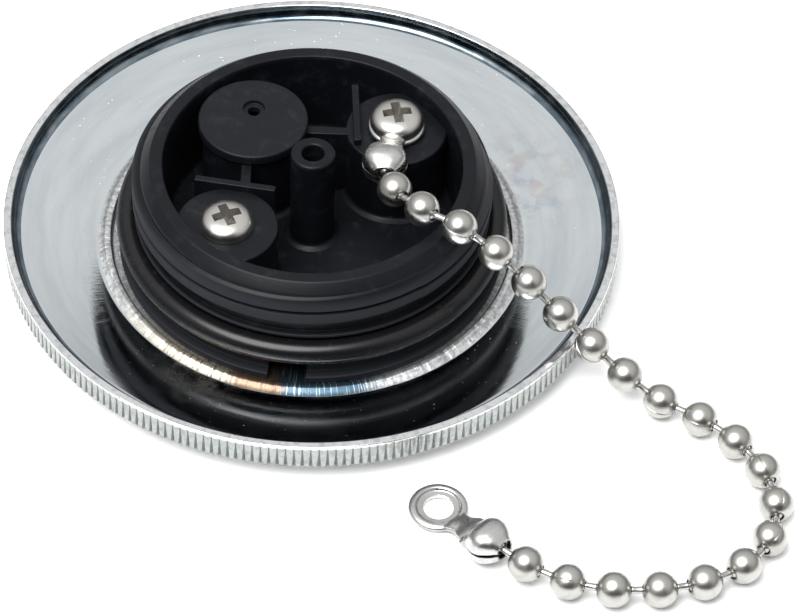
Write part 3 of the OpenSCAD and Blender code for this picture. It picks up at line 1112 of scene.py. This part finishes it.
def lobe(sign):
    """One half of the bell, as a closed shell round the X axis."""
    rows, columns = 30, 29
    start, finish = BELL_FORM[0][0], BELL_FORM[-1][0]
    outer, inner = [], []
    for i in range(rows):
        t = i / (rows - 1)
        x = start + (finish - start) * t
        width, height = bell_size(x)
        gap = math.radians(0.8 + 5.0 * max(0.0, (t - 0.35) / 0.65) ** 1.5)
        for k in range(columns):
            around = sign * (gap + (math.pi - 2 * gap) * k / (columns - 1))
            across = math.copysign(abs(math.cos(around)) ** BELL_SQUARE, math.cos(around))
            upright = math.copysign(abs(math.sin(around)) ** BELL_SQUARE, math.sin(around))
            outer.append((x, width * across, height * upright))
            inner.append((x, (width - BELL_WALL) * across, (height - BELL_WALL) * upright))
    verts = outer + inner
    half = rows * columns
    faces = []
    for i in range(rows - 1):
        for k in range(columns - 1):
            a, b = i * columns + k, i * columns + k + 1
            c, d = (i + 1) * columns + k + 1, (i + 1) * columns + k
            faces.append([a, b, c, d])
            faces.append([half + d, half + c, half + b, half + a])
    edge = list(range(columns))
    edge += [i * columns + columns - 1 for i in range(1, rows)]
    edge += [(rows - 1) * columns + k for k in range(columns - 2, -1, -1)]
    edge += [i * columns for i in range(rows - 2, 0, -1)]
    for n, here in enumerate(edge):
        there = edge[(n + 1) % len(edge)]
        faces.append([here, there, half + there, half + here])
    return verts, faces


def build_coupling(name, node, eyelet, bell, bell_axis):
    """Eyelet, neck of two sheets and bell, as one piece."""
    reach = bell - eyelet
    heading = math.degrees(math.atan2(reach.y, reach.x))
    place = place_at(eyelet.x, eyelet.y, eyelet.z, heading)
    shape = Shape()
    shape.add(*lathe(eyelet_section(), 120, closed=True), place=place)
    bell_place = place_along(bell, bell_axis)
    back_point = place.inverted() @ (bell_place @ Vector((-BELL_R + 0.25, 0, 0)))
    for lift in (-SHEET_LIFT, SHEET_LIFT):
        shape.add(*sweep(neck_rings(back_point, lift, 2.35)), place=place)
    for sign in (-1, 1):
        shape.add(*lobe(sign), place=bell_place)
    obj = mesh_object(name, shape, [SHEET])
    finish_piece(obj, node_body[node], "stainless_sheet", node, sharp=50)


build_coupling("inner_clasp", "inner_coupling", joint_at["inner_coupling"],
               centre_of(bead_nodes[0]), link_spans[0][0] - centre_of(bead_nodes[0]))
build_coupling("outer_clasp", "outer_coupling", mount_at["chain_eyelet"],
               centre_of(bead_nodes[-1]), link_spans[-1][1] - centre_of(bead_nodes[-1]))

# ---------------------------------------------------------------------------
# Stage: a pale floor, a white room with a dark side towards the front, softboxes
# ---------------------------------------------------------------------------

floor_mesh = bpy.data.meshes.new("floor")
REACH = 3.0
floor_mesh.from_pydata([(-REACH, -REACH, -0.00004), (REACH, -REACH, -0.00004),
                        (REACH, REACH, -0.00004), (-REACH, REACH, -0.00004)], [], [[0, 1, 2, 3]])
floor = bpy.data.objects.new("floor", floor_mesh)
bpy.context.scene.collection.objects.link(floor)
floor_finish = Finish("floor_white", (0.93, 0.93, 0.93), 0.0, 0.9, 0.1)
floor_mesh.materials.append(floor_finish.material)


def build_world():
    """A white room, greyer towards the horizon, with a dark side towards the front."""
    world = bpy.data.worlds.new("studio")
    world.use_nodes = True
    bpy.context.scene.world = world
    tree = world.node_tree
    background = tree.nodes["Background"]
    coords = tree.nodes.new("ShaderNodeTexCoord")

    def fade_towards(direction, wide, narrow, outside, inside):
        """A value that changes from outside to inside within an angle of direction."""
        dot = tree.nodes.new("ShaderNodeVectorMath")
        dot.operation = "DOT_PRODUCT"
        dot.inputs[1].default_value = Vector(direction).normalized()
        tree.links.new(coords.outputs["Generated"], dot.inputs[0])
        fade = tree.nodes.new("ShaderNodeMapRange")
        fade.interpolation_type = "SMOOTHSTEP"
        fade.inputs["From Min"].default_value = math.cos(math.radians(wide))
        fade.inputs["From Max"].default_value = math.cos(math.radians(narrow))
        fade.inputs["To Min"].default_value = outside
        fade.inputs["To Max"].default_value = inside
        tree.links.new(dot.outputs["Value"], fade.inputs["Value"])
        return fade.outputs[0]

    room = fade_towards((0, 0, 1), 88, 44, 0.22, 0.95)
    front = fade_towards((0.05, -1, 0.42), 50, 24, 1.0, 0.05)
    both = tree.nodes.new("ShaderNodeMath")
    both.operation = "MULTIPLY"
    tree.links.new(room, both.inputs[0])
    tree.links.new(front, both.inputs[1])
    tree.links.new(both.outputs[0], background.inputs["Color"])
    background.inputs["Strength"].default_value = 0.95


build_world()


def softbox(name, position, target, size, watts, glossy=True):
    """A round area light that looks at a point."""
    data = bpy.data.lights.new(name, "AREA")
    data.shape = "DISK"
    data.size = size
    data.energy = watts
    light = bpy.data.objects.new(name, data)
    bpy.context.scene.collection.objects.link(light)
    light.location = position
    light.visible_glossy = glossy
    light.rotation_euler = (Vector(target) - Vector(position)).to_track_quat("-Z", "Y").to_euler()


softbox("key_softbox", (-0.16, -0.22, 0.62), (0, 0, 0), 0.55, 7.5)
softbox("fill_softbox", (0.5, 0.35, 0.5), (0, 0, 0), 0.9, 1.6, glossy=False)
